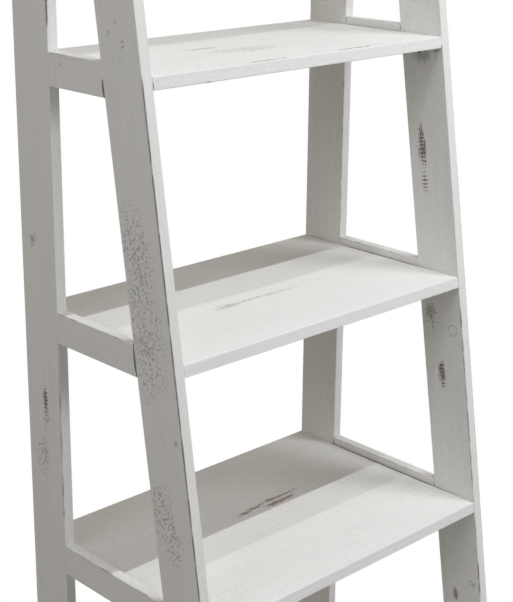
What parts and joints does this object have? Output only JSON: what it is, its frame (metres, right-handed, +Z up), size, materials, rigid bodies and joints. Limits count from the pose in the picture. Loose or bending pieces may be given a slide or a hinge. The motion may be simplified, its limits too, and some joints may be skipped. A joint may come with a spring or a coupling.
{
  "type": "ladder bookcase",
  "caption": "Open ladder bookcase of distressed white painted wood: raked front posts, upright back posts, short side rails and fixed shelves that get deeper downwards.",
  "frame": {"origin": "on the floor, under the middle of the case's box", "axes": "+Z up, +Y to the rear, so the raked front faces -Y, and +X to the right of someone facing the front"},
  "size_m": [0.68, 0.5199, 1.83],
  "materials": {
    "white_painted_wood": "satin off-white paint, rubbed through to brown wood in streaks and flecked with dark specks"
  },
  "bodies": {
    "root": {"left_back_post": "white_painted_wood", "left_front_post": "white_painted_wood", "right_back_post": "white_painted_wood", "right_front_post": "white_painted_wood", "left_rail_1": "white_painted_wood", "left_rail_2": "white_painted_wood", "left_rail_3": "white_painted_wood", "left_rail_4": "white_painted_wood", "left_rail_5": "white_painted_wood", "right_rail_1": "white_painted_wood", "right_rail_2": "white_painted_wood", "right_rail_3": "white_painted_wood", "right_rail_4": "white_painted_wood", "right_rail_5": "white_painted_wood", "shelf_1": "white_painted_wood", "shelf_2": "white_painted_wood", "shelf_3": "white_painted_wood", "shelf_4": "white_painted_wood", "shelf_5": "white_painted_wood"}
  },
  "joints": []
}
